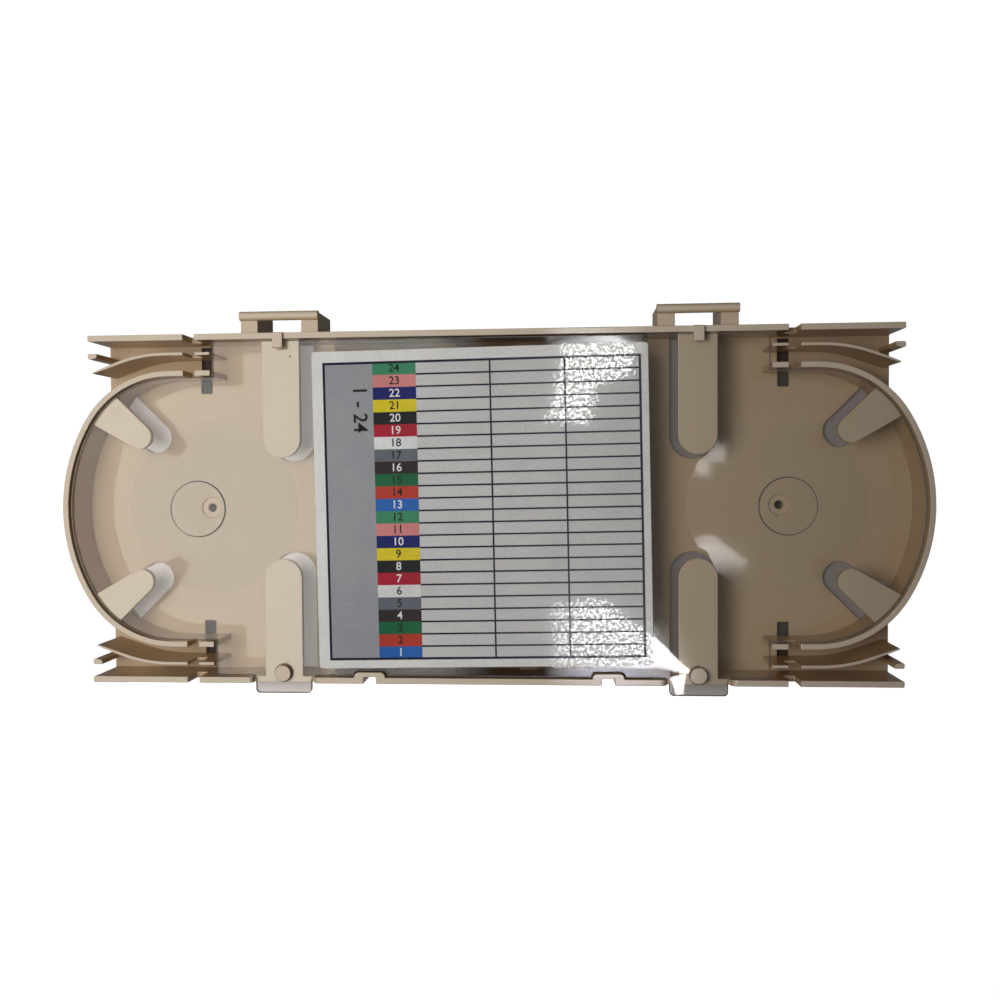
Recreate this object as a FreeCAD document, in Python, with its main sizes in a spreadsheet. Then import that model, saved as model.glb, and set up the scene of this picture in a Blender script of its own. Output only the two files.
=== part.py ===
import FreeCAD, Part
import math
import os

# Fibre splice tray: a moulded tray, its clear cover with a label, and two splice holders.
# Millimetres. X runs along the tray, +Y is the side with the hooks, +Z is up.
# The origin is on the underside, midway between the two round ends.

os.makedirs("parts", exist_ok=True)
doc = FreeCAD.newDocument("fibre_splice_tray")
sheet = doc.addObject("Spreadsheet::Sheet", "sizes")
Vector = FreeCAD.Vector

# Driving dimensions
driving = {
    # tray shell
    "tray_length": 245.0,
    "tray_width": 99.7,
    "rim_height": 16.0,
    "floor_thickness": 1.5,
    "long_wall": 1.7,
    "end_wall": 1.5,
    "wall_corner": 0.3,
    "floor_corner": 0.4,
    "cut_overrun": 1.0,
    # fibre entries at the four corners
    "divider_wall": 0.8,
    "end_overhang": 8.2,
    "floor_lip": 0.3,
    "entry_length": 35.6,
    "entry_pair_width": 10.35,
    "outer_lane_width": 3.45,
    "shoulder_radius": 28.0,
    "divider_run": 13.2,
    "divider_bend_radius": 40.0,
    "divider_bend_angle": 20.4,
    "divider_tip_run": 7.6,
    "divider_tip_wall": 0.4,
    "post_length": 2.7,
    "post_width": 1.8,
    "post_slant": 0.6,
    "post_end_corner": 0.6,
    "post_root_corner": 0.2,
    "post_lane_width": 3.5,
    # cable tie points
    "tie_inset": 37.7,
    "tie_width": 3.4,
    "tie_notch_depth": 7.0,
    "tie_slot_overrun": 4.0,
    "tie_slot_wall_gap": 0.3,
    "tie_slot_corner": 0.4,
    # fingers that hold the fibre down
    "finger_inset": 63.75,
    "finger_width": 10.8,
    "finger_gap": 29.0,
    "finger_drop": 2.2,
    "finger_thickness": 1.8,
    "shutoff_gap": 1.0,
    "shutoff_wall_gap": 0.6,
    "short_finger_angle": 37.0,
    "short_finger_root": 10.8,
    "short_finger_reach": 15.0,
    "short_finger_tip": 3.6,
    # storage reel centres
    "hub_inset": 39.2,
    "hub_hole": 2.54,
    "dimple_width": 6.0,
    "dimple_depth": 0.5,
    "dome_radius": 26.0,
    "dome_rise": 1.6,
    # hooks, pegs and stacking loops
    "hook_width": 2.8,
    "hook_reach": 2.7,
    "hook_rise": 1.2,
    "hook_corner": 0.5,
    "hook_clearance": 0.3,
    "hook_relief": 0.75,
    "peg_width": 4.5,
    "peg_rise": 1.0,
    "peg_inset": 2.8,
    "loop_span": 22.6,
    "loop_leg": 5.0,
    "loop_leg_inset": 0.2,
    "loop_reach": 6.2,
    "loop_bar": 2.6,
    # grooves in the pegged wall, and the jog that the wall makes round each
    "groove_spacing": 67.5,
    "groove_width": 3.65,
    "groove_depth": 1.95,
    "groove_corner": 0.3,
    "groove_wall": 1.25,
    "jog_shoulder": 2.6,
    "jog_round_share": 0.9,
    # cover
    "cover_thickness": 1.2,
    "cover_rest_gap": 0.03,
    "cover_gap": 0.33,
    "cover_corner": 0.8,
    "tab_width": 16.2,
    "tab_overhang": 3.0,
    "tab_corner": 1.2,
    "tab_root_corner": 1.4,
    "tab_gap": 0.7,
    "rim_ease_share": 0.7,
    "peg_hole_gap": 0.25,
    "window_radius": 8.0,
    "window_depth": 0.5,
    # label
    "label_side_margin": 6.1,
    "label_end_margin": 2.85,
    "label_corner": 1.0,
    "label_thickness": 0.15,
    "label_shift": 1.6,
    "label_turn": 0.85,
    # splice holders
    "holder_gap": 0.7,
    "holder_end_gap": 1.75,
    "holder_height": 9.5,
    "holder_base": 1.2,
    "holder_flange": 2.2,
    "holder_corner": 1.5,
    "comb_spacing": 22.5,
    "comb_width": 5.2,
    "comb_corner": 0.5,
    "comb_end": 2.0,
    "slot_pitch": 3.5,
    "slot_width": 2.6,
    "slot_depth": 5.4,
    "slot_bevel": 0.7,
}
for row, (alias, value) in enumerate(driving.items(), start=1):
    sheet.set("A%d" % row, alias)
    sheet.set("B%d" % row, str(value))
    sheet.setAlias("B%d" % row, alias)
doc.recompute()


def size(alias):
    return float(sheet.get(alias))


# Levels above the underside
rimLevel = size("rim_height")
fingerLevel = rimLevel - size("finger_drop")
coverLevel = fingerLevel + size("cover_rest_gap") + size("cover_thickness")

# Main lines in plan
halfLength = size("tray_length") / 2
halfWidth = size("tray_width") / 2
longWall = size("long_wall")
endWall = size("end_wall")
endCentre = halfLength - halfWidth
wallEnd = halfLength - size("end_overhang")
entryRoot = wallEnd - size("entry_length")
endWallLine = halfWidth - size("entry_pair_width") - endWall / 2
dividerLine = halfWidth - longWall - size("outer_lane_width") - size("divider_wall") / 2
tieLine = halfLength - size("tie_inset")
fingerLine = halfLength - size("finger_inset")
hubLine = halfLength - size("hub_inset")
pegLine = halfWidth - size("peg_inset")
grooveLine = size("groove_spacing") / 2

# The round end is a large arc that runs tangent into a smaller shoulder arc
endRadius = halfWidth - endWall / 2
shoulderRadius = size("shoulder_radius")
shoulderRise = endWallLine - shoulderRadius
shoulderRun = math.sqrt((endRadius - shoulderRadius) ** 2 - shoulderRise ** 2)
shoulderCentre = endCentre + shoulderRun
tangentAngle = math.atan2(shoulderRise, shoulderRun)

corners = [(1, 1), (-1, 1), (1, -1), (-1, -1)]
sides = (1, -1)
overrun = size("cut_overrun")


# Drawing helpers

def polar(cx, cy, radius, angle):
    return (cx + radius * math.cos(angle), cy + radius * math.sin(angle))


def point(xy, flip):
    return Vector(xy[0] * flip[0], xy[1] * flip[1], 0)


def draw_loop(sketch, start, moves, flip=(1, 1)):
    # a move holds one point for a line, or a passing point and an end point for an arc
    here = start
    for move in moves:
        if len(move) == 2 and isinstance(move[0], tuple):
            through, end = move
            edge = Part.Arc(point(here, flip), point(through, flip), point(end, flip))
        else:
            end = move
            edge = Part.LineSegment(point(here, flip), point(end, flip))
        sketch.addGeometry(edge, False)
        here = end
    closed = abs(here[0] - start[0]) < 1e-9 and abs(here[1] - start[1]) < 1e-9
    if not closed:
        sketch.addGeometry(Part.LineSegment(point(here, flip), point(start, flip)), False)


def corner_cut(before, corner, after):
    # where a rounded corner's arc begins, its middle, and where it ends
    x, y, radius = corner
    inward = Vector(before[0] - x, before[1] - y, 0).normalize()
    onward = Vector(after[0] - x, after[1] - y, 0).normalize()
    half = inward.getAngle(onward) / 2
    cut = radius / math.tan(half)
    bisector = (inward + onward).normalize()
    middle = Vector(x, y, 0) + bisector * (radius / math.sin(half) - radius)
    enter = (x + inward.x * cut, y + inward.y * cut)
    leave = (x + onward.x * cut, y + onward.y * cut)
    return enter, (middle.x, middle.y), leave


def rounded_moves(outline):
    # outline is a closed list of (x, y, corner radius); gives the start point and the moves
    count = len(outline)
    moves = []
    for i in list(range(1, count)) + [0]:
        corner = outline[i]
        if corner[2] > 0:
            enter, middle, leave = corner_cut(outline[i - 1], corner, outline[(i + 1) % count])
            moves.append(enter)
            moves.append((middle, leave))
        else:
            moves.append(corner[:2])
    last = moves[-1]
    start = last[1] if isinstance(last[0], tuple) else last
    return start, moves


def draw_rounded(sketch, outline, flip=(1, 1)):
    start, moves = rounded_moves(outline)
    draw_loop(sketch, start, moves, flip)


def draw_box(sketch, x0, x1, y0, y1, radius=0.0, flip=(1, 1)):
    draw_rounded(sketch, [(x0, y0, radius), (x1, y0, radius), (x1, y1, radius), (x0, y1, radius)], flip)


def draw_circle(sketch, x, y, radius):
    sketch.addGeometry(Part.Circle(Vector(x, y, 0), Vector(0, 0, 1), radius), False)


# Feature helpers

def new_body(label):
    body = doc.addObject("PartDesign::Body", label)
    body.Label = label
    return body


def new_sketch(body, name, role="XY_Plane", level=None):
    sketch = body.newObject("Sketcher::SketchObject", name)
    plane = [item for item in body.Origin.OriginFeatures if item.Role == role][0]
    sketch.AttachmentSupport = [(plane, "")]
    sketch.MapMode = "FlatFace"
    if level is not None:
        sketch.setExpression("AttachmentOffset.Base.z", level)
    return sketch


def pad(body, sketch, name, length, symmetric=False):
    feature = body.newObject("PartDesign::Pad", name)
    feature.Profile = sketch
    feature.setExpression("Length", length)
    if symmetric:
        feature.SideType = "Symmetric"
    sketch.Visibility = False
    doc.recompute()
    return feature


def revolve(body, sketch, name):
    # a full turn about the sketch's own upright axis
    feature = body.newObject("PartDesign::Revolution", name)
    feature.Profile = sketch
    feature.ReferenceAxis = (sketch, ["V_Axis"])
    feature.Angle = 360.0
    sketch.Visibility = False
    doc.recompute()
    return feature


def pocket(body, sketch, name, depth, upward=False):
    before = body.Shape.Volume
    feature = body.newObject("PartDesign::Pocket", name)
    feature.Profile = sketch
    feature.setExpression("Length", depth)
    feature.Reversed = upward
    sketch.Visibility = False
    doc.recompute()
    if body.Shape.Volume > before - 1e-6:
        raise RuntimeError(name + " cuts nothing")
    return feature


# Levels and lines as spreadsheet expressions
fingerLevelCell = "sizes.rim_height - sizes.finger_drop"
coverRestCell = fingerLevelCell + " + sizes.cover_rest_gap"
coverLevelCell = coverRestCell + " + sizes.cover_thickness"
domeTopCell = "sizes.floor_thickness + sizes.dome_rise"
fingerLineCell = "%d * (sizes.tray_length / 2 - sizes.finger_inset)"
hubLineCell = "%d * (sizes.tray_length / 2 - sizes.hub_inset)"


def end_band(inner, outer):
    # half of a round end, as a band between two offsets from the wall's middle line
    outerEnd = endRadius + outer
    innerEnd = endRadius + inner
    outerShoulder = shoulderRadius + outer
    innerShoulder = shoulderRadius + inner
    half = (math.pi / 2 + tangentAngle) / 2
    moves = [
        (shoulderCentre, endWallLine + outer),
        (polar(shoulderCentre, shoulderRise, outerShoulder, half),
         polar(shoulderCentre, shoulderRise, outerShoulder, tangentAngle)),
        ((endCentre + outerEnd, 0), polar(endCentre, 0, outerEnd, -tangentAngle)),
        (polar(shoulderCentre, -shoulderRise, outerShoulder, -half),
         (shoulderCentre, -endWallLine - outer)),
        (entryRoot, -endWallLine - outer),
        (entryRoot, -endWallLine - inner),
        (shoulderCentre, -endWallLine - inner),
        (polar(shoulderCentre, -shoulderRise, innerShoulder, -half),
         polar(shoulderCentre, -shoulderRise, innerShoulder, -tangentAngle)),
        ((endCentre + innerEnd, 0), polar(endCentre, 0, innerEnd, tangentAngle)),
        (polar(shoulderCentre, shoulderRise, innerShoulder, half),
         (shoulderCentre, endWallLine + inner)),
        (entryRoot, endWallLine + inner),
    ]
    return (entryRoot, endWallLine + outer), moves


def finger_outline(grow):
    # a straight finger from the long wall to its round tip
    half = size("finger_width") / 2 + grow
    tip = size("finger_gap") / 2 - grow
    root = halfWidth - longWall
    start = (fingerLine - half, root)
    moves = [(fingerLine - half, tip + half),
             ((fingerLine, tip), (fingerLine + half, tip + half)),
             (fingerLine + half, root)]
    return start, moves


def short_finger_outline(grow, root):
    # a tapered finger that points at the round end's centre
    angle = math.radians(size("short_finger_angle"))
    tipRadius = size("short_finger_tip") + grow
    tipAt = halfWidth - size("short_finger_reach")
    rootHalf = size("short_finger_root") / 2 + grow

    def place(along, across):
        return (endCentre + along * math.cos(angle) - across * math.sin(angle),
                along * math.sin(angle) + across * math.cos(angle))

    start = place(root, rootHalf)
    moves = [place(tipAt, tipRadius),
             (place(tipAt - tipRadius, 0), place(tipAt, -tipRadius)),
             place(root, -rootHalf)]
    return start, moves


def groove_outline(side):
    # one outside groove, from left to right
    left = side * grooveLine - size("groove_width") / 2
    right = side * grooveLine + size("groove_width") / 2
    top = -halfWidth + size("groove_depth")
    corner = size("groove_corner")
    return [(left, -halfWidth, 0), (left, top, corner), (right, top, corner), (right, -halfWidth, 0)]


def jog_outline(side, gap):
    # the step round a groove on the wall's inner face, which the cover's edge follows at its gap
    half = size("groove_width") / 2 + size("jog_shoulder") + gap
    left = side * grooveLine - half
    right = side * grooveLine + half
    foot = -halfWidth + longWall + gap
    rise = size("groove_depth") + size("groove_wall") - longWall
    corner = rise * size("jog_round_share")
    return [(left, foot, 0), (left, foot + rise, corner), (right, foot + rise, corner), (right, foot, 0)]


# Tray

def build_tray():
    body = new_body("tray")

    # floor: a plate with two round ends, cut in at the outside grooves
    sketch = new_sketch(body, "floor_outline")
    reach = wallEnd + size("floor_lip")
    corner = size("floor_corner")
    outline = [(-reach, halfWidth, corner), (-reach, -halfWidth, corner)]
    outline += groove_outline(-1) + groove_outline(1)
    outline += [(reach, -halfWidth, corner), (reach, halfWidth, corner)]
    draw_rounded(sketch, outline)
    pad(body, sketch, "floor", "sizes.floor_thickness")
    for side in sides:
        sketch = new_sketch(body, "round_floor_outline_%d" % (side + 1))
        draw_circle(sketch, side * endCentre, 0, halfWidth)
        pad(body, sketch, "round_floor_%d" % (side + 1), "sizes.floor_thickness")

    # low domes under the stored coils
    rise = size("dome_rise")
    radius = size("dome_radius")
    ball = (radius ** 2 + rise ** 2) / (2 * rise)
    waist = (radius / 2, math.sqrt(ball ** 2 - radius ** 2 / 4) - ball + rise)
    foot = -size("floor_thickness") / 2
    for side in sides:
        sketch = new_sketch(body, "dome_profile_%d" % (side + 1), "XZ_Plane")
        sketch.setExpression("AttachmentOffset.Base.x", hubLineCell % side)
        sketch.setExpression("AttachmentOffset.Base.y", "sizes.floor_thickness")
        draw_loop(sketch, (0, foot), [(radius, foot), (radius, 0), (waist, (0, rise))])
        revolve(body, sketch, "dome_%d" % (side + 1))

    # the hooked side's long wall
    corner = size("wall_corner")
    sketch = new_sketch(body, "hooked_wall_outline")
    draw_box(sketch, -wallEnd, wallEnd, halfWidth - longWall, halfWidth, corner)
    pad(body, sketch, "hooked_wall", "sizes.rim_height")

    # the pegged side's long wall steps inward round the two grooves
    sketch = new_sketch(body, "pegged_wall_outline")
    outer = -halfWidth
    inner = -halfWidth + longWall
    outline = [(-wallEnd, inner, corner), (-wallEnd, outer, corner)]
    outline += groove_outline(-1) + groove_outline(1)
    outline += [(wallEnd, outer, corner), (wallEnd, inner, corner)]
    outline += jog_outline(1, 0)[::-1] + jog_outline(-1, 0)[::-1]
    draw_rounded(sketch, outline)
    pad(body, sketch, "pegged_wall", "sizes.rim_height")

    # round end walls, which run on as the inner walls of the fibre entries
    for side in sides:
        sketch = new_sketch(body, "end_wall_outline_%d" % (side + 1))
        start, moves = end_band(-endWall / 2, endWall / 2)
        draw_loop(sketch, start, moves, (side, 1))
        pad(body, sketch, "end_wall_%d" % (side + 1), "sizes.rim_height")

    # thin dividers that bend away from the long wall, and a post in each mouth
    sketch = new_sketch(body, "divider_outlines")
    half = size("divider_wall") / 2
    tipHalf = size("divider_tip_wall") / 2
    bend = math.radians(size("divider_bend_angle"))
    bendRadius = size("divider_bend_radius")
    bendStart = entryRoot + size("divider_run")
    bendCentre = dividerLine - bendRadius
    tipRun = size("divider_tip_run")

    def bend_point(radius, turn, run):
        x = bendStart + radius * math.sin(turn) + run * math.cos(turn)
        y = bendCentre + radius * math.cos(turn) - run * math.sin(turn)
        return (x, y)

    start = (entryRoot, dividerLine + half)
    moves = [
        (bendStart, dividerLine + half),
        (bend_point(bendRadius + half, bend / 2, 0), bend_point(bendRadius + half, bend, 0)),
        bend_point(bendRadius + tipHalf, bend, tipRun),
        bend_point(bendRadius - tipHalf, bend, tipRun),
        bend_point(bendRadius - half, bend, 0),
        (bend_point(bendRadius - half, bend / 2, 0), (bendStart, dividerLine - half)),
        (entryRoot, dividerLine - half),
    ]
    for flip in corners:
        draw_loop(sketch, start, moves, flip)
    pad(body, sketch, "dividers", "sizes.rim_height")

    sketch = new_sketch(body, "post_outlines")
    postOuter = halfWidth - longWall - size("post_lane_width")
    postInner = postOuter - size("post_width")
    postRoot = wallEnd - size("post_length")
    slant = size("post_slant")
    endCorner = size("post_end_corner")
    rootCorner = size("post_root_corner")
    for flip in corners:
        draw_rounded(sketch, [(wallEnd, postOuter, endCorner), (postRoot, postOuter, rootCorner),
                              (postRoot + slant / 2, postInner + slant, rootCorner),
                              (wallEnd, postInner, endCorner)], flip)
    pad(body, sketch, "mouth_posts", "sizes.rim_height")

    # fingers at cover level
    sketch = new_sketch(body, "finger_outlines", "XY_Plane", fingerLevelCell + " - sizes.finger_thickness")
    for flip in corners:
        draw_loop(sketch, *finger_outline(0), flip)
        draw_loop(sketch, *short_finger_outline(0, halfWidth - endWall / 2), flip)
    pad(body, sketch, "fingers", "sizes.finger_thickness")

    # openings in the floor under every finger, and the holes in the domes
    sketch = new_sketch(body, "shutoff_outlines")
    shortRoot = halfWidth - endWall - size("shutoff_wall_gap")
    for flip in corners:
        draw_loop(sketch, *finger_outline(size("shutoff_gap")), flip)
        draw_loop(sketch, *short_finger_outline(size("shutoff_gap"), shortRoot), flip)
    for side in sides:
        draw_circle(sketch, side * hubLine, 0, size("hub_hole") / 2)
    pocket(body, sketch, "shutoffs", domeTopCell, True)
    sketch = new_sketch(body, "dimple_outlines", "XY_Plane", domeTopCell)
    for side in sides:
        draw_circle(sketch, side * hubLine, 0, size("dimple_width") / 2)
    pocket(body, sketch, "dimples", "sizes.dimple_depth")

    # tie slots in the floor and tie notches across the entry walls
    tieLow = tieLine - size("tie_width") / 2
    tieHigh = tieLine + size("tie_width") / 2
    slotInner = endWallLine - endWall / 2 - size("tie_slot_overrun")
    slotOuter = halfWidth - longWall - size("tie_slot_wall_gap")
    sketch = new_sketch(body, "tie_slot_outlines")
    for flip in corners:
        draw_box(sketch, tieLow, tieHigh, slotInner, slotOuter, size("tie_slot_corner"), flip)
    pocket(body, sketch, "tie_slots", "sizes.floor_thickness", True)
    sketch = new_sketch(body, "tie_notch_outlines", "XY_Plane", "sizes.rim_height")
    for flip in corners:
        draw_box(sketch, tieLow, tieHigh, endWallLine - endWall, halfWidth + overrun, 0, flip)
    pocket(body, sketch, "tie_notches", "sizes.tie_notch_depth")

    # the pegged wall drops to finger level where the cover's tabs cross it
    sketch = new_sketch(body, "tab_gap_outlines", "XZ_Plane",
                        "sizes.tray_width / 2 - sizes.long_wall - sizes.cut_overrun")
    tabHalf = size("tab_width") / 2 + size("tab_gap")
    ease = size("finger_drop") * size("rim_ease_share")
    bow = ease * (1 - math.sqrt(0.5))
    for side in sides:
        middle = side * fingerLine
        draw_loop(sketch, (middle - tabHalf, fingerLevel),
                  [(middle + tabHalf, fingerLevel),
                   (middle + tabHalf, rimLevel - ease),
                   ((middle + tabHalf + bow, rimLevel - bow),
                    (middle + tabHalf + ease, rimLevel)),
                   (middle + tabHalf + ease, rimLevel + overrun),
                   (middle - tabHalf - ease, rimLevel + overrun),
                   (middle - tabHalf - ease, rimLevel),
                   ((middle - tabHalf - bow, rimLevel - bow),
                    (middle - tabHalf, rimLevel - ease))])
    pocket(body, sketch, "tab_gaps", "sizes.long_wall + 2 * sizes.cut_overrun", True)

    # pegs stand on the fingers' roots and pass through the cover's tabs
    sketch = new_sketch(body, "peg_outlines", "XY_Plane", fingerLevelCell)
    for side in sides:
        draw_circle(sketch, side * fingerLine, -pegLine, size("peg_width") / 2)
    pad(body, sketch, "pegs", "sizes.cover_thickness + sizes.peg_rise")

    # hooks lean over the cover's edge, with room under the nose for it to tip
    hookTop = rimLevel + size("hook_rise")
    hookRoot = coverLevel + size("hook_clearance")
    hookNose = hookRoot + size("hook_relief")
    innerFace = halfWidth - longWall
    noseFace = innerFace - size("hook_reach")
    corner = size("hook_corner")
    for side in sides:
        sketch = new_sketch(body, "hook_outline_%d" % (side + 1), "YZ_Plane", fingerLineCell % side)
        draw_rounded(sketch, [(halfWidth, hookTop, corner), (noseFace, hookTop, corner),
                              (noseFace, hookNose, 0), (innerFace, hookRoot, 0), (halfWidth, hookRoot, 0)])
        pad(body, sketch, "hook_%d" % (side + 1), "sizes.hook_width", True)

    # stacking loops outside the hooked wall: two full-height legs under a round bar
    loopHalf = size("loop_span") / 2
    barRadius = size("loop_bar") / 2
    outerFace = halfWidth + size("loop_reach")
    inset = size("loop_leg_inset")
    sketch = new_sketch(body, "loop_leg_outlines")
    for side in sides:
        for leg in sides:
            inside = side * fingerLine + leg * (loopHalf - size("loop_leg"))
            outside = side * fingerLine + leg * (loopHalf - inset)
            draw_box(sketch, min(inside, outside), max(inside, outside),
                     halfWidth - longWall / 2, outerFace - inset, size("wall_corner"))
    pad(body, sketch, "loop_legs", "sizes.rim_height - sizes.loop_bar / 2")
    for side in sides:
        sketch = new_sketch(body, "loop_bar_outline_%d" % (side + 1), "YZ_Plane", fingerLineCell % side)
        draw_circle(sketch, outerFace - barRadius, rimLevel - barRadius, barRadius)
        pad(body, sketch, "loop_bar_%d" % (side + 1), "sizes.loop_span", True)
    return body


# Cover

def build_cover():
    body = new_body("cover")
    body.setExpression("Placement.Base.z", coverRestCell)
    gap = size("cover_gap")
    edge = halfWidth - longWall - gap
    plateEnd = entryRoot - gap
    tabHalf = size("tab_width") / 2
    tabEdge = halfWidth + size("tab_overhang")
    tabCorner = size("tab_corner")
    rootCorner = size("tab_root_corner")
    corner = size("cover_corner")

    # middle plate with two tabs and two jogs in its pegged edge
    tabs = {}
    for side in sides:
        left = side * fingerLine - tabHalf
        right = side * fingerLine + tabHalf
        tabs[side] = [(left, -edge, rootCorner), (left, -tabEdge, tabCorner),
                      (right, -tabEdge, tabCorner), (right, -edge, rootCorner)]
    sketch = new_sketch(body, "plate_outline")
    outline = [(plateEnd, edge, corner), (-plateEnd, edge, corner), (-plateEnd, -edge, corner)]
    outline += tabs[-1] + jog_outline(-1, gap) + jog_outline(1, gap) + tabs[1]
    outline += [(plateEnd, -edge, corner)]
    draw_rounded(sketch, outline)
    pad(body, sketch, "plate", "sizes.cover_thickness")

    # round ends follow the end walls at the same gap
    inner = -endWall / 2 - gap
    half = (math.pi / 2 + tangentAngle) / 2
    for side in sides:
        sketch = new_sketch(body, "round_plate_outline_%d" % (side + 1))
        shoulder = shoulderRadius + inner
        end = endRadius + inner
        moves = [
            (shoulderCentre, endWallLine + inner),
            (polar(shoulderCentre, shoulderRise, shoulder, half),
             polar(shoulderCentre, shoulderRise, shoulder, tangentAngle)),
            ((endCentre + end, 0), polar(endCentre, 0, end, -tangentAngle)),
            (polar(shoulderCentre, -shoulderRise, shoulder, -half),
             (shoulderCentre, -endWallLine - inner)),
            (fingerLine, -endWallLine - inner),
        ]
        draw_loop(sketch, (fingerLine, endWallLine + inner), moves, (side, 1))
        pad(body, sketch, "round_plate_%d" % (side + 1), "sizes.cover_thickness")

    # peg holes in the tabs
    sketch = new_sketch(body, "peg_hole_outlines")
    for side in sides:
        draw_circle(sketch, side * fingerLine, -pegLine, size("peg_width") / 2 + size("peg_hole_gap"))
    pocket(body, sketch, "peg_holes", "sizes.cover_thickness", True)

    # a thinner round window over each reel centre, sunk into the underside
    sketch = new_sketch(body, "window_outlines")
    for side in sides:
        draw_circle(sketch, side * hubLine, 0, size("window_radius"))
    pocket(body, sketch, "windows", "sizes.window_depth", True)
    return body


# Label, stuck a little askew on the cover

def build_label():
    body = new_body("label")
    sketch = new_sketch(body, "label_outline")
    labelHalfX = fingerLine - size("finger_width") / 2 - size("label_side_margin")
    labelHalfY = halfWidth - longWall - size("cover_gap") - size("label_end_margin")
    draw_box(sketch, -labelHalfX, labelHalfX, -labelHalfY, labelHalfY, size("label_corner"))
    pad(body, sketch, "label_sheet", "sizes.label_thickness")
    body.setExpression("Placement.Base.x", "-sizes.label_shift")
    body.setExpression("Placement.Base.z", coverLevelCell)
    body.setExpression("Placement.Rotation.Angle", "sizes.label_turn")
    body.Placement.Rotation.Axis = Vector(0, 0, 1)
    return body


# Splice holders: a base strip that carries two combs, with the slots cut across both

def build_holder(label, side):
    body = new_body(label)
    room = halfWidth - longWall - size("holder_end_gap") - size("holder_gap") / 2
    combAt = size("comb_spacing") / 2
    combHalf = size("comb_width") / 2
    baseHalf = combAt + combHalf + size("holder_flange")
    sketch = new_sketch(body, label + "_base_outline")
    draw_box(sketch, -baseHalf, baseHalf, 0, room, size("holder_corner"))
    pad(body, sketch, label + "_base", "sizes.holder_base")
    sketch = new_sketch(body, label + "_comb_outlines")
    for comb in sides:
        draw_box(sketch, comb * combAt - combHalf, comb * combAt + combHalf, 0, room, size("comb_corner"))
    pad(body, sketch, label + "_combs", "sizes.holder_height")

    pitch = size("slot_pitch")
    slotHalf = size("slot_width") / 2
    count = int(round((room - 2 * size("comb_end")) / pitch, 6))
    firstSlot = room / 2 - (count - 1) * pitch / 2
    top = size("holder_height")
    bottom = top - size("slot_depth")
    bevel = size("slot_bevel")
    sketch = new_sketch(body, label + "_slot_outline", "YZ_Plane")
    draw_loop(sketch, (firstSlot - slotHalf, top + overrun),
              [(firstSlot - slotHalf, bottom + bevel), (firstSlot - slotHalf + bevel, bottom),
               (firstSlot + slotHalf - bevel, bottom), (firstSlot + slotHalf, bottom + bevel),
               (firstSlot + slotHalf, top + overrun)])
    slot = pocket(body, sketch, label + "_slot", "sizes.comb_spacing + sizes.comb_width * 2")
    slot.SideType = "Symmetric"
    doc.recompute()
    pattern = body.newObject("PartDesign::LinearPattern", label + "_slots")
    pattern.Originals = [slot]
    along = [item for item in body.Origin.OriginFeatures if item.Role == "Y_Axis"][0]
    pattern.Direction = (along, [""])
    pattern.Length = (count - 1) * pitch
    pattern.Occurrences = count
    body.Tip = pattern
    doc.recompute()
    body.setExpression("Placement.Base.y", "%d * sizes.holder_gap / 2" % side)
    body.setExpression("Placement.Base.z", "sizes.floor_thickness")
    body.Placement.Rotation = FreeCAD.Rotation(Vector(0, 0, 1), 0 if side > 0 else 180)
    return body


parts = [
    build_tray(),
    build_cover(),
    build_label(),
    build_holder("splice_holder_hooked", 1),
    build_holder("splice_holder_pegged", -1),
]
doc.recompute()

# Nothing may be left failed or empty
for item in doc.Objects:
    state = [str(word) for word in item.State]
    if "Invalid" in state or "Error" in state:
        raise RuntimeError("%s is %s" % (item.Label, state))
for body in parts:
    if body.Shape.isNull() or not body.Shape.isValid():
        raise RuntimeError("%s has no valid shape" % body.Label)
    print(body.Label, "solids", len(body.Shape.Solids), "volume", round(body.Shape.Volume, 1))

for body in parts:
    body.Shape.exportStep("parts/%s.step" % body.Label)
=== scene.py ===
import math

import bmesh
import bpy
from mathutils import Matrix, Vector


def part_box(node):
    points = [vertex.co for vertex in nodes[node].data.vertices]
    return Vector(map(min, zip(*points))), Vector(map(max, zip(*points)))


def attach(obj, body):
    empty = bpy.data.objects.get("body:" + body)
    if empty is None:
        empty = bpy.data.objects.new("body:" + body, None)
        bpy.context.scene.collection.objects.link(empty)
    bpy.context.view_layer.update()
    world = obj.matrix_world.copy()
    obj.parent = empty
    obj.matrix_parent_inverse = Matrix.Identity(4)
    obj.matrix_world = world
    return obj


# Fibre splice tray with a clear cover and a printed label, dressed around the fixed frame.
# Metres. X runs along the tray, +Y is the hooked side, +Z is up.

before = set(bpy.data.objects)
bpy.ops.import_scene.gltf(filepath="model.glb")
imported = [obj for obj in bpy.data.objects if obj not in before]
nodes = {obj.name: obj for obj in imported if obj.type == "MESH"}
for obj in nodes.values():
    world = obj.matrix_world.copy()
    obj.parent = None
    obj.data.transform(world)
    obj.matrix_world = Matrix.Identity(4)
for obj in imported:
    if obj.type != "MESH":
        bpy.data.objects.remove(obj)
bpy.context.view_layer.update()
mm = 0.001
hubLine = 83.3 * mm    # the reel centres stand this far to either side
print("frame loaded:", ", ".join(sorted(nodes)))


# Small helpers. Values given to nodes are other nodes' sockets or plain values.

def screenColour(red, green, blue):
    # a colour as it looks on screen, 0 to 255, as the linear value that a shader takes
    def straighten(value):
        share = value / 255
        return share / 12.92 if share <= 0.04045 else ((share + 0.055) / 1.055) ** 2.4
    return (straighten(red), straighten(green), straighten(blue), 1.0)


def fillInputs(tree, node, inputs):
    for name, value in inputs.items():
        if isinstance(value, bpy.types.NodeSocket):
            tree.links.new(value, node.inputs[name])
        else:
            node.inputs[name].default_value = value


def addNode(tree, kind, inputs=None, **settings):
    node = tree.nodes.new("ShaderNode" + kind)
    for name, value in settings.items():
        setattr(node, name, value)
    fillInputs(tree, node, inputs or {})
    return node


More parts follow.
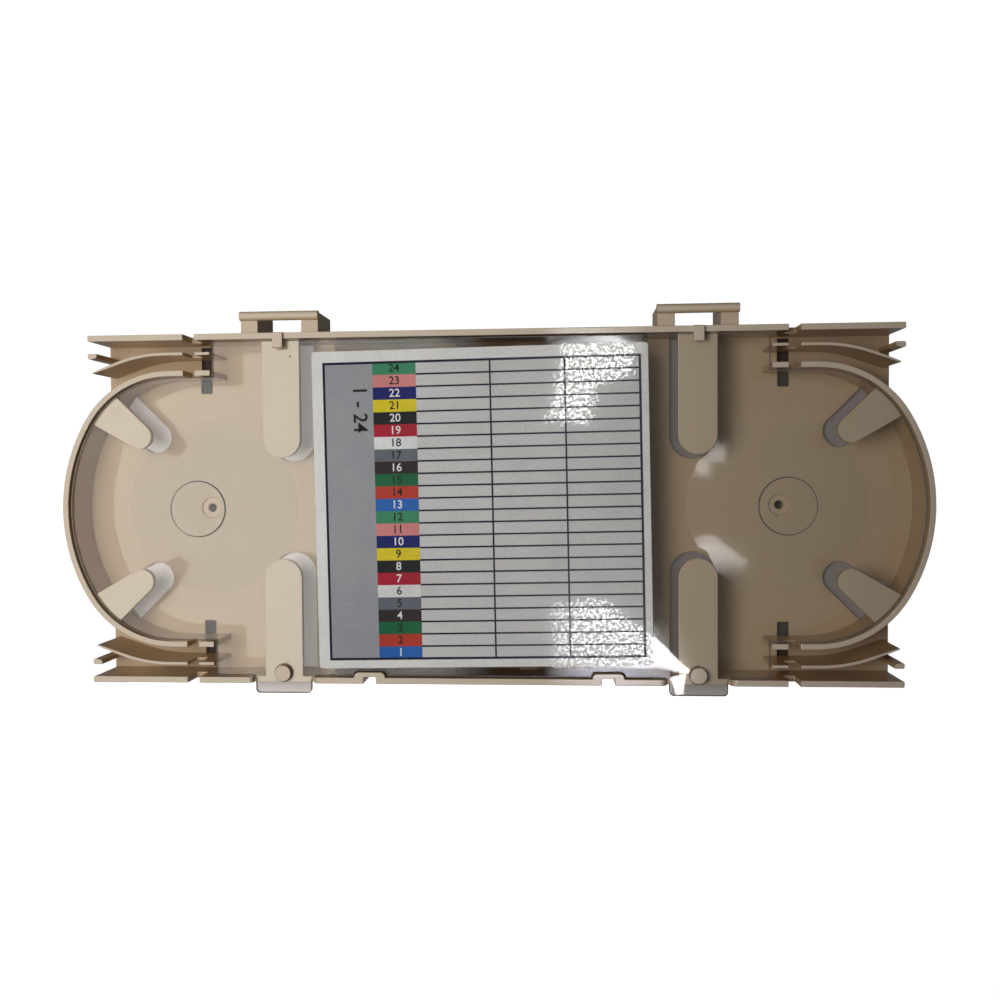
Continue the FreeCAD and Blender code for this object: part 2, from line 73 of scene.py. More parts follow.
def startMaterial(name):
    material = bpy.data.materials.new(name)
    material.use_nodes = True
    tree = material.node_tree
    return material, tree, tree.nodes["Principled BSDF"]


def calculate(tree, operation, first, *others):
    # more than two values are taken in turn
    if not others:
        return addNode(tree, "Math", {0: first}, operation=operation).outputs["Value"]
    result = first
    for other in others:
        result = addNode(tree, "Math", {0: result, 1: other}, operation=operation).outputs["Value"]
    return result


def splitVector(tree, vector):
    parts = addNode(tree, "SeparateXYZ", {"Vector": vector})
    return parts.outputs["X"], parts.outputs["Y"], parts.outputs["Z"]


def addNoise(tree, place, noise):
    # noise is its scale in turns a metre, its detail and its roughness
    inputs = dict(zip(("Scale", "Detail", "Roughness"), noise), Vector=place)
    return addNode(tree, "TexNoise", inputs).outputs["Fac"]


def mapRange(tree, source, low, high, newLow, newHigh):
    inputs = {"Value": source, "From Min": low, "From Max": high, "To Min": newLow, "To Max": newHigh}
    return addNode(tree, "MapRange", inputs).outputs["Result"]


def mixColours(tree, factor, first, second):
    # Mix keeps its two colours at places 6 and 7, and their mixture at 2
    return addNode(tree, "Mix", {"Factor": factor, 6: first, 7: second}, data_type="RGBA").outputs[2]


def mixShaders(tree, factor, first, second):
    return addNode(tree, "MixShader", {"Fac": factor, 1: first, 2: second}).outputs["Shader"]


def addBump(tree, height, distance, under=None):
    node = addNode(tree, "Bump", {"Height": height, "Distance": distance, "Strength": 1.0})
    if under is not None:
        tree.links.new(under, node.inputs["Normal"])
    return node.outputs["Normal"]


def reelDistance(tree, x, y):
    # how far a point in plan is from the nearer reel centre
    fromHub = calculate(tree, "SUBTRACT", calculate(tree, "ABSOLUTE", x), hubLine)
    squares = calculate(tree, "ADD", calculate(tree, "MULTIPLY", fromHub, fromHub),
                        calculate(tree, "MULTIPLY", y, y))
    return calculate(tree, "SQRT", squares)


def dress(node, material):
    slots = nodes[node].data.materials
    slots.clear()
    slots.append(material)


def meshPiece(name, shape, materials, body):
    mesh = bpy.data.meshes.new(name)
    shape.to_mesh(mesh)
    shape.free()
    for material in materials:
        mesh.materials.append(material)
    piece = bpy.data.objects.new(name, mesh)
    bpy.context.scene.collection.objects.link(piece)
    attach(piece, body)


# Moulded plastic for the tray and the splice holders

trayLook = {
    "colour": (213, 189, 158),
    "deepColour": (197, 167, 135),           # the cloudy parts and the flow lines
    "cloudNoise": (26.0, 3.0, 0.5),
    "cloudBand": (0.35, 0.7),
    "cloudShare": 0.35,
    "flowNoise": (30.0, 4.0, 0.6),
    "flowStretch": (1.0, 5.0, 3.0),
    "flowBand": (0.4, 0.75),
    "flowShare": 0.12,
    "highlightColour": (238, 226, 210),            # painted highlight: the pale tone of rims, finger tops and reel floors
    "rimLevel": (15.6 * mm, 15.95 * mm),     # the top edges take the painted highlight from here up
    "rimHighlightShare": 0.65,
    "fingerLevel": (13.4 * mm, 13.7 * mm),   # flat tops from here up take a little painted highlight
    "fingerHighlightShare": 0.38,
    "flatFrom": 0.9,                         # a face counts as flat when it faces up this much
    "discRadius": 26 * mm,                   # the reel floors
    "discBelow": 5 * mm,
    "discLine": 0.25 * mm,                   # their rims catch a thin line of light, half this wide
    "discShare": 0.35,
    # painted sheen: the reel floors are a little paler inside their rims
    "discHighlight": 0.15,
    "wallShadeColour": (192, 156, 108),           # painted shade: walls look darker and browner than level faces
    "wallShadeShare": 0.7,
    "wallBand": (0.2, 0.8),                  # from wall to level face, by how much it faces up
    "shadeColour": (100, 70, 50),            # the long walls beside the label, out of the light
    "shadeShare": 0.8,
    "shadeHalf": (46 * mm, 48.4 * mm),       # they reach this far along and across
    "shadeBelow": 14.6 * mm,
    "shadeFrom": 43.5 * mm,                  # from here outwards the floor is dark too
    "shadeFacing": 0.8,                      # how much a dark wall faces sideways
    "marks": ((-55.88 * mm, 43.31 * mm, 0.3 * mm), (-108.84 * mm, 46.96 * mm, 0.22 * mm),
              (82.52 * mm, -2.96 * mm, 0.2 * mm)),      # small moulding marks: place in plan and size
    "markColour": (84, 66, 50),
    "markFade": (0.7, 1.2),                  # they fade out between these shares of their size
    "wallShine": 0.15,
    "levelShine": 0.5,
    "roughness": (0.055, 0.1),
    "roughnessBand": (0.3, 0.7),             # the flow lines carry it
    "ior": 1.5,
    "edgeRadius": 0.4 * mm,
    "edgeSamples": 6,
    "waveDepth": 0.2 * mm,
    "flowDepth": 0.02 * mm,
    "grainNoise": (2600.0, 2.0, 0.5),
    "grainDepth": 0.0015 * mm,
    "glow": 0.06,
    "glowReach": (1.0, 0.7, 0.45),           # red goes furthest
    "glowScale": 0.6 * mm,
}


def cloudyTone(tree, look, clouds, flow):
    deep = screenColour(*look["deepColour"])
    cloudShare = mapRange(tree, clouds, *look["cloudBand"], 0.0, look["cloudShare"])
    flowShare = mapRange(tree, flow, *look["flowBand"], 0.0, look["flowShare"])
    tone = mixColours(tree, cloudShare, screenColour(*look["colour"]), deep)
    return mixColours(tree, flowShare, tone, deep)


def paintedHighlightShare(tree, look, x, y, z, facingUp):
    # painted highlight on rims, the flat tops of the fingers, and the reel floors with the line of light
    # round them
    onRim = mapRange(tree, z, *look["rimLevel"], 0.0, look["rimHighlightShare"])
    onFinger = calculate(tree, "MULTIPLY",
                         mapRange(tree, z, *look["fingerLevel"], 0.0, look["fingerHighlightShare"]),
                         calculate(tree, "GREATER_THAN", facingUp, look["flatFrom"]))
    fromReel = reelDistance(tree, x, y)
    fromEdge = calculate(tree, "ABSOLUTE", calculate(tree, "SUBTRACT", fromReel, look["discRadius"]))
    onEdge = mapRange(tree, fromEdge, 0.0, look["discLine"], look["discShare"], 0.0)
    onDisc = calculate(tree, "MULTIPLY",
                       calculate(tree, "LESS_THAN", fromReel, look["discRadius"]), look["discHighlight"])
    onReel = calculate(tree, "MULTIPLY", calculate(tree, "MAXIMUM", onEdge, onDisc),
                       calculate(tree, "LESS_THAN", z, look["discBelow"]))
    return calculate(tree, "MAXIMUM", onRim, onFinger, onReel)


def shadeShare(tree, look, x, y, z, facingSide):
    # the inner faces of the long walls beside the label
    along = calculate(tree, "ABSOLUTE", x)
    across = calculate(tree, "ABSOLUTE", y)
    sideways = calculate(tree, "ABSOLUTE", facingSide)
    nearLabel = calculate(tree, "LESS_THAN", along, look["shadeHalf"][0])
    atWall = calculate(tree, "MAXIMUM",
                       calculate(tree, "GREATER_THAN", sideways, look["shadeFacing"]),
                       calculate(tree, "GREATER_THAN", across, look["shadeFrom"]))
    inside = calculate(tree, "MULTIPLY",
                       calculate(tree, "LESS_THAN", z, look["shadeBelow"]),
                       calculate(tree, "LESS_THAN", across, look["shadeHalf"][1]))
    return calculate(tree, "MULTIPLY", nearLabel, atWall, inside, look["shadeShare"])


def addMarks(tree, look, place, tone):
    plan = addNode(tree, "VectorMath", {0: place, 1: (1.0, 1.0, 0.0)}, operation="MULTIPLY")
    fadeStart, fadeEnd = look["markFade"]
    for x, y, radius in look["marks"]:
        reach = addNode(tree, "VectorMath", {0: plan.outputs["Vector"], 1: (x, y, 0.0)},
                        operation="DISTANCE")
        onMark = mapRange(tree, reach.outputs["Value"], radius * fadeStart, radius * fadeEnd, 1.0, 0.0)
        tone = mixColours(tree, onMark, tone, screenColour(*look["markColour"]))
    return tone


def mouldedPlastic(name, look):
    material, tree, shader = startMaterial(name)
    coordinates = addNode(tree, "TexCoord")
    place = coordinates.outputs["Object"]
    x, y, z = splitVector(tree, place)
    facingSide, facingUp = splitVector(tree, coordinates.outputs["Normal"])[1:]
    level = calculate(tree, "ABSOLUTE", facingUp)      # 0 on a wall, 1 on a level face

    stretched = addNode(tree, "Mapping", {"Vector": place, "Scale": look["flowStretch"]})
    clouds = addNoise(tree, place, look["cloudNoise"])
    flow = addNoise(tree, stretched.outputs["Vector"], look["flowNoise"])
    grain = addNoise(tree, place, look["grainNoise"])

    tone = cloudyTone(tree, look, clouds, flow)
    # painted highlight on rims, finger tops and reel floors
    pale = paintedHighlightShare(tree, look, x, y, z, facingUp)
    # painted shade: walls darker and browner than level faces
    side = mapRange(tree, level, *look["wallBand"], look["wallShadeShare"], 0.0)
    shade = shadeShare(tree, look, x, y, z, facingSide)
    for share, colour in ((pale, "highlightColour"), (side, "wallShadeColour"), (shade, "shadeColour")):
        tone = mixColours(tree, share, tone, screenColour(*look[colour]))
    tone = addMarks(tree, look, place, tone)

    eased = addNode(tree, "Bevel", {"Radius": look["edgeRadius"]}, samples=look["edgeSamples"])
    normal = eased.outputs["Normal"]
    for height, depth in ((clouds, "waveDepth"), (flow, "flowDepth"), (grain, "grainDepth")):
        normal = addBump(tree, height, look[depth], under=normal)

    fillInputs(tree, shader, {
        "Base Color": tone,
        "Normal": normal,
        "Roughness": mapRange(tree, flow, *look["roughnessBand"], *look["roughness"]),
        "Specular IOR Level": mapRange(tree, level, *look["wallBand"], look["wallShine"],
                                       look["levelShine"]),
        "IOR": look["ior"],
        "Subsurface Weight": look["glow"],
        "Subsurface Radius": look["glowReach"],
        "Subsurface Scale": look["glowScale"],
    })
    return material


dress("tray", mouldedPlastic("tray_plastic", trayLook))

holderLook = dict(trayLook, colour=(196, 174, 146), deepColour=(178, 154, 124),
                  roughness=(0.5, 0.62), glow=0.04)
holderPlastic = mouldedPlastic("holder_plastic", holderLook)
dress("splice_holder_hooked", holderPlastic)
dress("splice_holder_pegged", holderPlastic)
print("moulded pieces dressed")


# Clear cover

coverLook = {
    "tint": (250, 250, 247),
    "edgeShadeTint": (30, 20, 14),      # painted shade: the cut edges are painted dark, to look dark against the ivory
    "wallBand": (0.2, 0.9),        # from cut edge to level face, by how much it faces up
    "edgeLine": 0.5 * mm,          # how far in from an edge the painted dark line reaches
    "edgeSamples": 8,
    "edgeBand": (0.985, 0.93),
    "edgeShadeShare": 0.9,
    "edgeRoughness": 0.6,
    "roughness": 0.02,
    "shine": 0.5,
    "ior": 1.49,
    "rippleNoise": (60.0, 1.0, 0.5),
    "rippleDepth": 0.03 * mm,
    "shadowTint": (246, 246, 243),
}


def clearPlastic(look):
    material, tree, shader = startMaterial("clear_plastic")
    coordinates = addNode(tree, "TexCoord")
    facingUp = splitVector(tree, coordinates.outputs["Normal"])[2]
    edgeShadeTint = screenColour(*look["edgeShadeTint"])
    levelShare = mapRange(tree, calculate(tree, "ABSOLUTE", facingUp), *look["wallBand"], 0.0, 1.0)
    # painted shade: the cut edges, which face sideways, take the dark edge colour
    tint = mixColours(tree, levelShare, edgeShadeTint, screenColour(*look["tint"]))

    # painted shade: a dark line near every edge, where the rounded normal leans away from the flat one
    eased = addNode(tree, "Bevel", {"Radius": look["edgeLine"]}, samples=look["edgeSamples"])
    flat = addNode(tree, "NewGeometry")
    lean = addNode(tree, "VectorMath", {0: eased.outputs["Normal"], 1: flat.outputs["True Normal"]},
                   operation="DOT_PRODUCT")
    edgeShadeShare = mapRange(tree, lean.outputs["Value"], *look["edgeBand"], 0.0, look["edgeShadeShare"])
    clearShare = calculate(tree, "SUBTRACT", 1.0, edgeShadeShare)
    ripple = addNoise(tree, coordinates.outputs["Object"], look["rippleNoise"])
    fillInputs(tree, shader, {
        "Base Color": mixColours(tree, edgeShadeShare, tint, edgeShadeTint),
        "Transmission Weight": clearShare,
        "Specular IOR Level": calculate(tree, "MULTIPLY", clearShare, look["shine"]),
        "IOR": look["ior"],
        "Roughness": mapRange(tree, edgeShadeShare, 0.0, look["edgeShadeShare"], look["roughness"],
                              look["edgeRoughness"]),
        "Normal": addBump(tree, ripple, look["rippleDepth"]),
    })

    # lamps shine straight through, as they do through thin clear sheet
    through = addNode(tree, "BsdfTransparent", {"Color": screenColour(*look["shadowTint"])})
    path = addNode(tree, "LightPath")
    surface = mixShaders(tree, path.outputs["Is Shadow Ray"], shader.outputs["BSDF"],
                         through.outputs["BSDF"])
    tree.links.new(surface, tree.nodes["Material Output"].inputs["Surface"])
    return material


dress("cover", clearPlastic(coverLook))
print("cover dressed")


# Label sheet and everything printed on it

labelLook = {
    "paper": (238, 238, 236),
    "paperShade": (228, 227, 225),
    "toneNoise": (90.0, 3.0, 0.5),
    "toneBand": (0.35, 0.7),
    "roughness": 0.35,
    "peelNoise": (760.0, 2.0, 0.5),
    "peelDepth": 0.008 * mm,
    "patchNoise": (1120.0, 3.0, 0.6),   # the shine comes and goes in patches
    "patchBand": (0.47, 0.55),
    "coat": (0.06, 0.95),
    "coatIor": 1.65,
    "coatRoughness": 0.05,
}


def gloss(name, look, colour, shade):
    # glossy print film, with the fine orange peel of a label over a plastic sheet
    material, tree, shader = startMaterial(name)
    place = addNode(tree, "TexCoord").outputs["Object"]
    clouds = addNoise(tree, place, look["toneNoise"])
    shine = addNoise(tree, place, look["patchNoise"])
    peel = addBump(tree, addNoise(tree, place, look["peelNoise"]), look["peelDepth"])
    cloudShare = mapRange(tree, clouds, *look["toneBand"], 0.0, 1.0)
    fillInputs(tree, shader, {
        "Base Color": mixColours(tree, cloudShare, screenColour(*colour), screenColour(*shade)),
        "Roughness": look["roughness"],
        "Normal": peel,
        "Coat Weight": mapRange(tree, shine, *look["patchBand"], *look["coat"]),
        "Coat IOR": look["coatIor"],
        "Coat Roughness": look["coatRoughness"],
        "Coat Normal": peel,
    })
    return material


dress("label", gloss("label_film", labelLook, labelLook["paper"], labelLook["paperShade"]))

# millimetres on the sheet
printLook = {
    "turn": 0.85,                     # the sheet sits this many degrees askew
    "size": (94.5, 89.94),            # the sheet before it is turned
    "left": 3.42,                     # bare margins round the table
    "right": 2.3,
    "top": 3.5,
    "bottom": 2.6,
    "columns": (13.9, 26.2, 47.1, 68.0),     # ruled lines, from the table's left side
    "rows": 24,
    "frameLine": 0.68,
    "ruledLine": 0.5,
    "numberHeight": 3.2,
    "heading": "1 - 24",
    "headingHeight": 5.6,
    "headingAcross": 0.72,            # as a share of the grey column
    "headingDown": 13.0,              # from the table's top
    "bolder": 0.012,                  # letters grow by this share of their height
    "sink": 0.01,                     # how far all ink reaches into the film
    # how high each ink stands over the film, so that no two lie in one plane
    "rise": {
        "field": 0.006,
        "greyColumn": 0.012,
        "cells": 0.0168,
        "rowLines": 0.022,
        "columnLines": 0.0242,
        "frameSides": 0.0264,
        "frameEnds": 0.0286,
        "words": 0.032,
    },
    # each ink's colour, and the colour of its darker or paler parts
    "inks": {
        "print_pale": ((214, 214, 213), (207, 206, 206)),
        "print_grey": ((161, 163, 168), (154, 156, 162)),
        "ink_black": ((24, 24, 28), (30, 30, 34)),
        "ink_white": ((240, 240, 240), (232, 232, 234)),
        "ink_navy": ((16, 17, 46), (20, 21, 50)),
    },
    # the twelve fibre colours in order, and the number's colour on each
    "cells": (
        ("blue", (38, 105, 190), "white"),
        ("orange", (196, 62, 44), "black"),
        ("green", (20, 108, 66), "black"),
        ("brown", (52, 42, 44), "white"),
        ("slate", (106, 112, 122), "black"),
        ("natural", (240, 240, 240), "black"),
        ("red", (180, 24, 52), "white"),
        ("black", (32, 34, 38), "white"),
        ("yellow", (236, 216, 30), "black"),
        ("violet", (20, 30, 110), "white"),
        ("rose", (224, 142, 140), "black"),
        ("aqua", (62, 144, 104), "black"),
    ),
    "cellShade": 0.92,                # how dark the darker parts of a cell's colour are
}

labelLow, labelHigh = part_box("label")
labelMiddle = (labelLow + labelHigh) / 2
sheetToFrame = (Matrix.Translation((labelMiddle.x, labelMiddle.y, labelHigh.z))
                @ Matrix.Rotation(math.radians(printLook["turn"]), 4, "Z") @ Matrix.Scale(mm, 4))

tableLeft = -printLook["size"][0] / 2 + printLook["left"]
tableRight = printLook["size"][0] / 2 - printLook["right"]
tableTop = printLook["size"][1] / 2 - printLook["top"]
tableBottom = -printLook["size"][1] / 2 + printLook["bottom"]
rowPitch = (tableTop - tableBottom) / printLook["rows"]
numberLeft, numberRight = (tableLeft + line for line in printLook["columns"][:2])


def ink(name, look=labelLook):
    return gloss(name, look, *printLook["inks"][name])


def addInk(shape, x0, x1, y0, y1, layer, materialIndex=0):
    # one thin closed patch of ink
    made = bmesh.ops.create_cube(shape, size=1.0)
    for corner in made["verts"]:
        x = x0 if corner.co.x < 0 else x1
        y = y0 if corner.co.y < 0 else y1
        z = -printLook["sink"] if corner.co.z < 0 else printLook["rise"][layer]
        corner.co = sheetToFrame @ Vector((x, y, z))
    for face in {face for corner in made["verts"] for face in corner.link_faces}:
        face.material_index = materialIndex


def addWords(shape, words, x, y, height, turn, materialIndex):
    # text as mesh, centred on x and y
    rise = printLook["rise"]["words"]
    sink = printLook["sink"]
    curve = bpy.data.curves.new("words", "FONT")
    curve.body = words
    curve.size = height
    curve.align_x = "CENTER"
    curve.align_y = "CENTER"
    curve.offset = height * printLook["bolder"]
    curve.extrude = (rise + sink) / 2
    lettering = bpy.data.objects.new("words", curve)
    bpy.context.scene.collection.objects.link(lettering)
    bpy.context.view_layer.update()
    evaluated = lettering.evaluated_get(bpy.context.evaluated_depsgraph_get())
    mesh = bpy.data.meshes.new_from_object(evaluated)
    bpy.data.objects.remove(lettering)
    mesh.transform(sheetToFrame @ Matrix.Translation((x, y, (rise - sink) / 2))
                   @ Matrix.Rotation(math.radians(turn), 4, "Z"))
    before = set(shape.faces)
    shape.from_mesh(mesh)
    bpy.data.meshes.remove(mesh)
    for face in shape.faces:
        if face not in before:
            face.material_index = materialIndex


def printFields():
    fields = bmesh.new()
    addInk(fields, tableLeft, tableRight, tableBottom, tableTop, "field", 0)
    addInk(fields, tableLeft, numberLeft, tableBottom, tableTop, "greyColumn", 1)
    meshPiece("label_fields", fields, [ink("print_pale"), ink("print_grey")], "cover")


def printCells(look):
    cells = bmesh.new()
    for row in range(look["rows"]):
        low = tableBottom + row * rowPitch
        addInk(cells, numberLeft, numberRight, low, low + rowPitch, "cells", row % len(look["cells"]))
    cellMaterials = [gloss("print_" + name, labelLook, colour,
                           tuple(look["cellShade"] * part for part in colour))
                     for name, colour, numberInk in look["cells"]]
    meshPiece("label_cells", cells, cellMaterials, "cover")


def printNumbers(look):
    numbers = bmesh.new()
    for row in range(look["rows"]):
        numberInk = look["cells"][row % len(look["cells"])][2]
        addWords(numbers, str(row + 1), (numberLeft + numberRight) / 2,
                 tableBottom + (row + 0.5) * rowPitch, look["numberHeight"], 0,
                 1 if numberInk == "white" else 0)
    addWords(numbers, look["heading"], tableLeft + look["columns"][0] * look["headingAcross"],
             tableTop - look["headingDown"], look["headingHeight"], -90, 0)
    meshPiece("label_numbers", numbers, [ink("ink_black"), ink("ink_white")], "cover")


def printLines(look):
    lines = bmesh.new()
    half = look["ruledLine"] / 2
    frameHalf = look["frameLine"] / 2
    for row in range(1, look["rows"]):
        y = tableBottom + row * rowPitch
        addInk(lines, numberRight, tableRight, y - half, y + half, "rowLines")
    for column in look["columns"][2:]:
        x = tableLeft + column
        addInk(lines, x - half, x + half, tableBottom, tableTop, "columnLines")
    for x in (tableLeft, tableRight):
        addInk(lines, x - frameHalf, x + frameHalf, tableBottom - frameHalf, tableTop + frameHalf,
               "frameSides")
    for y in (tableBottom, tableTop):
        addInk(lines, tableLeft - frameHalf, tableRight + frameHalf, y - frameHalf, y + frameHalf,
               "frameEnds")
    lineLook = dict(labelLook, coat=(0.0, 0.25))     # the ruled lines stay dark in the shine
    meshPiece("label_lines", lines, [ink("ink_navy", lineLook)], "cover")


printFields()
printCells(printLook)
printNumbers(printLook)
printLines(printLook)
print("label printed:", printLook["rows"], "rows")


# Floor, white round the object; under it grey with painted light and shade

floorLook = {
    "side": 4.0,
    "grey": (78, 72, 66),
    "paintedLitGrey": (246, 240, 244),           # painted light: under the left end
    "paintedDimGrey": (150, 140, 142),            # painted shade: under the right end
    "fade": (-60 * mm, 50 * mm),           # the painted light falls off from pale to dim along the tray
    "roughness": 0.9,
    "shine": 0.1,
    "white": (1.0, 1.0, 1.0, 1.0),
    "glow": 1.0,                           # how white the camera sees it, before the lamps add to it
    "glowInMirrors": 0.15,
    "glowThroughCover": 0.045,
    "paintedGlowInOpenings": (0.14, 0.03),        # painted light: a glow under the left and the right openings in the tray's floor
    "tieSlots": (84.8 * mm, 3 * mm, 34 * mm),     # painted shade keeps them dark: along, half width, across from
    "hiddenHalf": (112 * mm, 48.6 * mm),   # under the tray the floor gets no white glow, only the lamps and the painted glow under the openings
    "paleTo": 60 * mm,                     # the pale part runs on to here under the cover's tabs
    "tabsFrom": 49.6 * mm,
    "tabsPaler": 0.6,
    "shadeUnderHubs": 5 * mm,
}


def floorDark(tree, look, x, y):
    # dark grey past the pale patch, and painted shade under the reel centres and under the tie slots
    along = calculate(tree, "ABSOLUTE", x)
    across = calculate(tree, "ABSOLUTE", y)
    slotLine, slotHalf, slotFrom = look["tieSlots"]
    fromSlot = calculate(tree, "ABSOLUTE", calculate(tree, "SUBTRACT", along, slotLine))
    pastEnds = calculate(tree, "GREATER_THAN", along, look["hiddenHalf"][0])
    pastTabs = calculate(tree, "LESS_THAN", y, -look["paleTo"])
    pastHooks = calculate(tree, "GREATER_THAN", y, look["hiddenHalf"][1])
    # painted shade: the floor under the reel centres is dark
    nearHub = calculate(tree, "LESS_THAN", reelDistance(tree, x, y), look["shadeUnderHubs"])
    atSlot = calculate(tree, "MULTIPLY", calculate(tree, "LESS_THAN", fromSlot, slotHalf),
                       calculate(tree, "GREATER_THAN", across, slotFrom))
    return calculate(tree, "MAXIMUM", pastEnds, pastTabs, pastHooks, nearHub, atSlot)


def floorGlow(tree, look, x, y, dark):
    # white for the camera and in mirrors, less so through the clear cover
    pastEnds = calculate(tree, "GREATER_THAN", calculate(tree, "ABSOLUTE", x), look["hiddenHalf"][0])
    pastSides = calculate(tree, "GREATER_THAN", calculate(tree, "ABSOLUTE", y), look["hiddenHalf"][1])
    outside = calculate(tree, "MAXIMUM", pastEnds, pastSides)
    path = addNode(tree, "LightPath")
    through = path.outputs["Is Transmission Ray"]
    mirrored = calculate(tree, "SUBTRACT", path.outputs["Is Glossy Ray"], through)
    seen = calculate(tree, "MAXIMUM",
                     calculate(tree, "MULTIPLY", path.outputs["Is Camera Ray"], look["glow"]),
                     calculate(tree, "MULTIPLY", mirrored, look["glowInMirrors"]),
                     calculate(tree, "MULTIPLY", through, look["glowThroughCover"]))
    # painted light: a glow on the floor seen through the tray's openings, brighter at the left
    openings = calculate(tree, "MULTIPLY",
                         mapRange(tree, x, *look["fade"], *look["paintedGlowInOpenings"]),
                         calculate(tree, "SUBTRACT", 1.0, dark), through,
                         calculate(tree, "SUBTRACT", 1.0, outside))
    return calculate(tree, "ADD", calculate(tree, "MULTIPLY", seen, outside), openings)


def addFloor(look):
    bpy.ops.mesh.primitive_plane_add(size=look["side"])
    floor = bpy.context.object
    floor.name = "floor"
    material, tree, shader = startMaterial("floor_sheet")
    x, y = splitVector(tree, addNode(tree, "TexCoord").outputs["Object"])[:2]
    dark = floorDark(tree, look, x, y)
    # painted light and shade under the tray: pale under the left end, dim under the right, less dim under
    # the cover's tabs
    underTabs = calculate(tree, "LESS_THAN", y, -look["tabsFrom"])
    paintedDimShare = calculate(tree, "SUBTRACT", mapRange(tree, x, *look["fade"], 0.0, 1.0),
                         calculate(tree, "MULTIPLY", underTabs, look["tabsPaler"]))
    pale = mixColours(tree, paintedDimShare, screenColour(*look["paintedLitGrey"]), screenColour(*look["paintedDimGrey"]))
    fillInputs(tree, shader, {
        "Base Color": mixColours(tree, dark, pale, screenColour(*look["grey"])),
        "Roughness": look["roughness"],
        "Specular IOR Level": look["shine"],
    })
    glow = addNode(tree, "Emission", {"Color": look["white"],
                                      "Strength": floorGlow(tree, look, x, y, dark)})
    both = addNode(tree, "AddShader", {0: shader.outputs["BSDF"], 1: glow.outputs["Emission"]})
    tree.links.new(both.outputs["Shader"], tree.nodes["Material Output"].inputs["Surface"])
    floor.data.materials.append(material)


addFloor(floorLook)
print("floor laid")


# Lamps

lampLook = {
    "world": 0.045,
    "worldColour": (1.0, 0.92, 0.85, 1.0),
    "backdrop": (1.0, 1.0, 1.0, 1.0),
    "key": {"place": (-0.12, 0.02, 0.30), "aim": (-0.10, 0.0, 0.0), "side": 0.18, "spread": 140,
            "power": 0.40, "colour": (1.0, 0.99, 0.97)},
    "fill": {"place": (0.30, 0.10, 0.70), "aim": (0.05, 0.0, 0.0), "side": 0.4, "spread": 180,
             "power": 0.08, "colour": (1.0, 0.76, 0.68)},
}


def addLamp(name, look):
    light = bpy.data.lights.new(name, "AREA")
    light.shape = "SQUARE"
    light.size = look["side"]
    light.spread = math.radians(look["spread"])
    light.energy = look["power"]
    light.color = look["colour"]
    lamp = bpy.data.objects.new(name, light)
    bpy.context.scene.collection.objects.link(lamp)
    lamp.location = look["place"]
    towards = Vector(look["aim"]) - Vector(look["place"])
    lamp.rotation_euler = towards.to_track_quat("-Z", "Y").to_euler()
    lamp.visible_camera = False
    lamp.visible_glossy = False
    lamp.visible_transmission = False


def lightRoom(look):
    world = bpy.data.worlds.new("room")
    bpy.context.scene.world = world
    world.use_nodes = True
    tree = world.node_tree
    lit = tree.nodes["Background"]
    fillInputs(tree, lit, {"Color": look["worldColour"], "Strength": look["world"]})
    seen = addNode(tree, "Background", {"Color": look["backdrop"], "Strength": 1.0})
    path = addNode(tree, "LightPath")
    surface = mixShaders(tree, path.outputs["Is Camera Ray"], lit.outputs["Background"],
                         seen.outputs["Background"])
    tree.links.new(surface, tree.nodes["World Output"].inputs["Surface"])
    addLamp("key", look["key"])
    addLamp("fill", look["fill"])


lightRoom(lampLook)
bpy.context.scene.view_settings.view_transform = "Standard"
print("room lit")


# Camera, at the photograph's own angle

cameraLook = {
    "place": (21.275 * mm, 9.572 * mm, 282.630 * mm),
    "turn": (-0.02821, 0.06541, -0.00734),
    "lens": 34.417,
    "sensor": 36.0,
    "nearest": 10 * mm,
}
camera = bpy.data.objects.new("camera", bpy.data.cameras.new("camera"))
bpy.context.scene.collection.objects.link(camera)
camera.location = cameraLook["place"]
camera.rotation_euler = cameraLook["turn"]
camera.data.lens = cameraLook["lens"]
camera.data.sensor_width = cameraLook["sensor"]
camera.data.clip_start = cameraLook["nearest"]
bpy.context.scene.camera = camera
print("camera set")


# Bright things overhead that only show as reflections in the cover and the label.
# Corners are pixel and brightness. Covered ones only show in what lies under the cover.

